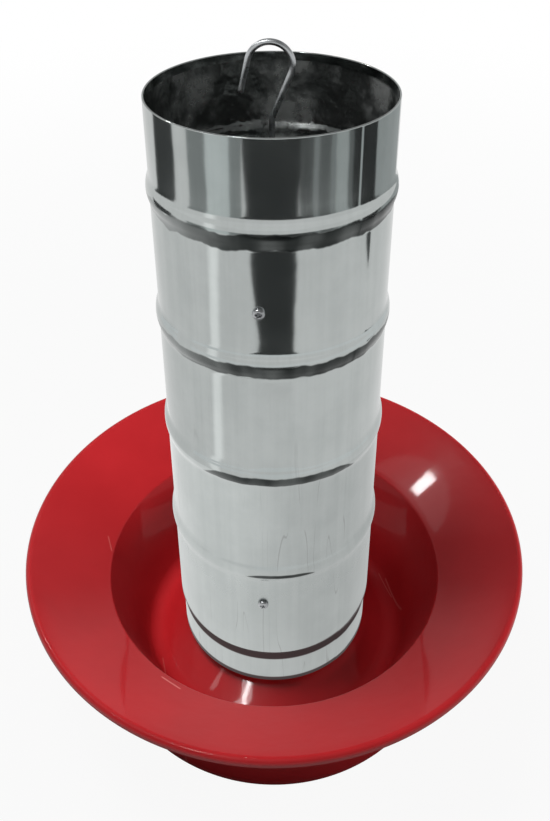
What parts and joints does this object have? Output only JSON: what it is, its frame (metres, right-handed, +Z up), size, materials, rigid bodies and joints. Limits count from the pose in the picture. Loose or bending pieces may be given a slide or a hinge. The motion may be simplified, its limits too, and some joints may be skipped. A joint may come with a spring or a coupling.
{
  "type": "tube poultry feeder",
  "caption": "Hanging or free-standing tube feeder for poultry: a beaded sheet-metal tube over a round red tray, carried on a hooked wire rod.",
  "frame": {"origin": "centre of the foot skirt's ring on the ground", "axes": "+Z up along the rod, -Y towards the tube's front screws, +X to the right seen from the front"},
  "size_m": [0.4049, 0.405, 0.5364],
  "materials": {
    "tray_plastic": "glossy moulded",
    "galvanised_sheet": "bright galvanised sheet",
    "galvanised_strip": "galvanised strip",
    "hook_wire": "bright zinc-plated wire",
    "fastener_steel": "zinc plated"
  },
  "bodies": {
    "tray_and_rod": {"feed_tray": "tray_plastic", "hook_rod": "hook_wire", "tray_top_nut": "fastener_steel", "tray_top_washer": "fastener_steel", "tray_bottom_washer": "fastener_steel", "tray_wing_nut": "fastener_steel"},
    "regulator_seat": {"regulator_washer": "fastener_steel"},
    "regulator_nut": {"regulator_wing_nut": "fastener_steel"},
    "tube": {"tube_shell": "galvanised_sheet", "upper_crossbar": "galvanised_strip", "lower_crossbar": "galvanised_strip", "upper_front_screw": "fastener_steel", "upper_rear_screw": "fastener_steel", "lower_front_screw": "fastener_steel", "lower_rear_screw": "fastener_steel", "upper_front_nut": "fastener_steel", "upper_rear_nut": "fastener_steel", "lower_front_nut": "fastener_steel", "lower_rear_nut": "fastener_steel"}
  },
  "joints": [
    {"name": "tube_height", "type": "slide", "parent": "tray_and_rod", "child": "regulator_seat", "axis": [0, 0, 1], "range_m": [-0.008, 0.016]},
    {"name": "regulator_turn", "type": "hinge", "parent": "regulator_seat", "child": "regulator_nut", "pos_m": [0, 0, 0.396], "axis": [0, 0, 1], "range_deg": [-4120, 8235]},
    {"name": "tube_turn", "type": "hinge", "parent": "regulator_seat", "child": "tube", "pos_m": [0, 0, 0.396], "axis": [0, 0, 1], "continuous": true}
  ],
  "couplings": [
    {"joint": "regulator_turn", "follows": "tube_height", "rad_per_m": 8976}
  ]
}
